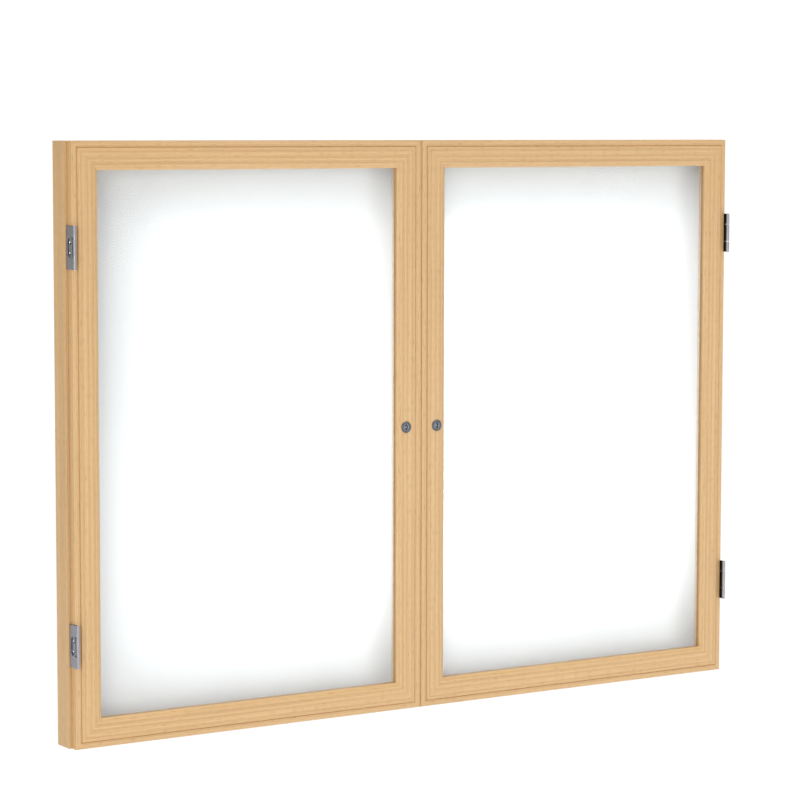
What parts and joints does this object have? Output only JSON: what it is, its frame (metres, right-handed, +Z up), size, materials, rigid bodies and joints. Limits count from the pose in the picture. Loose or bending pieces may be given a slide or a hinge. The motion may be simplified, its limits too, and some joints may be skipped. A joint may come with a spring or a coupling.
{
  "type": "lockable notice board",
  "caption": "Wall-hung white writing board in a shallow oak-look box, closed by glazed, mitred doors on side hinges that meet in the middle and lock with cam locks.",
  "frame": {"origin": "centre of the back face, which lies on the wall", "axes": "+Z up, -Y out of the doors towards the reader, +Y into the wall, +X to the right of the reader"},
  "size_m": [1.2192, 0.0628, 0.895],
  "materials": {
    "oak_frame": "light oak look, straight grain, satin lacquer",
    "oak_bead": "light oak look, satin",
    "white_enamel": "smooth white enamel, low gloss",
    "fibreboard": "plain pressed fibreboard",
    "clear_pane": "clear, polished",
    "hinge_steel": "satin nickel look",
    "bright_steel": "bright zinc",
    "lock_metal": "satin grey plate",
    "zinc_steel": "dull zinc plate"
  },
  "bodies": {
    "cabinet": {"cabinet_top_rail": "oak_frame", "cabinet_bottom_rail": "oak_frame", "cabinet_left_side": "oak_frame", "cabinet_right_side": "oak_frame", "centre_post": "oak_frame", "backing_board": "fibreboard", "writing_sheet": "white_enamel", "strike_plate": "zinc_steel", "hanger_plate_left": "zinc_steel", "hanger_plate_right": "zinc_steel", "left_upper_hinge_cabinet_leaf": "hinge_steel", "left_upper_hinge_pin": "bright_steel", "left_upper_foot_screw_high": "bright_steel", "left_upper_foot_screw_low": "bright_steel", "left_lower_hinge_cabinet_leaf": "hinge_steel", "left_lower_hinge_pin": "bright_steel", "left_lower_foot_screw_high": "bright_steel", "left_lower_foot_screw_low": "bright_steel", "right_upper_hinge_cabinet_leaf": "hinge_steel", "right_upper_hinge_pin": "bright_steel", "right_upper_foot_screw_high": "bright_steel", "right_upper_foot_screw_low": "bright_steel", "right_lower_hinge_cabinet_leaf": "hinge_steel", "right_lower_hinge_pin": "bright_steel", "right_lower_foot_screw_high": "bright_steel", "right_lower_foot_screw_low": "bright_steel"},
    "left_door": {"left_door_top_rail": "oak_frame", "left_door_bottom_rail": "oak_frame", "left_door_hinge_stile": "oak_frame", "left_door_lock_stile": "oak_frame", "left_pane": "clear_pane", "left_glazing_bead": "oak_bead", "left_upper_hinge_door_leaf": "hinge_steel", "left_upper_leaf_screw_high": "bright_steel", "left_upper_leaf_screw_low": "bright_steel", "left_lower_hinge_door_leaf": "hinge_steel", "left_lower_leaf_screw_high": "bright_steel", "left_lower_leaf_screw_low": "bright_steel", "left_lock_housing": "lock_metal", "left_lock_nut": "zinc_steel"},
    "left_lock": {"left_lock_plug": "lock_metal", "left_lock_cam": "zinc_steel", "left_lock_cam_screw": "bright_steel"},
    "right_door": {"right_door_top_rail": "oak_frame", "right_door_bottom_rail": "oak_frame", "right_door_hinge_stile": "oak_frame", "right_door_lock_stile": "oak_frame", "right_pane": "clear_pane", "right_glazing_bead": "oak_bead", "right_upper_hinge_door_leaf": "hinge_steel", "right_upper_leaf_screw_high": "bright_steel", "right_upper_leaf_screw_low": "bright_steel", "right_lower_hinge_door_leaf": "hinge_steel", "right_lower_leaf_screw_high": "bright_steel", "right_lower_leaf_screw_low": "bright_steel", "right_lock_housing": "lock_metal", "right_lock_nut": "zinc_steel"},
    "right_lock": {"right_lock_plug": "lock_metal", "right_lock_cam": "zinc_steel", "right_lock_cam_screw": "bright_steel"}
  },
  "joints": [
    {"name": "left_door_hinge", "type": "hinge", "parent": "cabinet", "child": "left_door", "pos_m": [-0.6049, -0.0602, 0], "axis": [0, 0, -1], "range_deg": [0, 180]},
    {"name": "right_door_hinge", "type": "hinge", "parent": "cabinet", "child": "right_door", "pos_m": [0.6049, -0.0602, 0], "axis": [0, 0, 1], "range_deg": [0, 180]},
    {"name": "left_lock_turn", "type": "hinge", "parent": "left_door", "child": "left_lock", "pos_m": [-0.0286, -0.05275, 0], "axis": [0, -1, 0], "range_deg": [0, 90]},
    {"name": "right_lock_turn", "type": "hinge", "parent": "right_door", "child": "right_lock", "pos_m": [0.0286, -0.05275, 0], "axis": [0, 1, 0], "range_deg": [0, 90]}
  ]
}
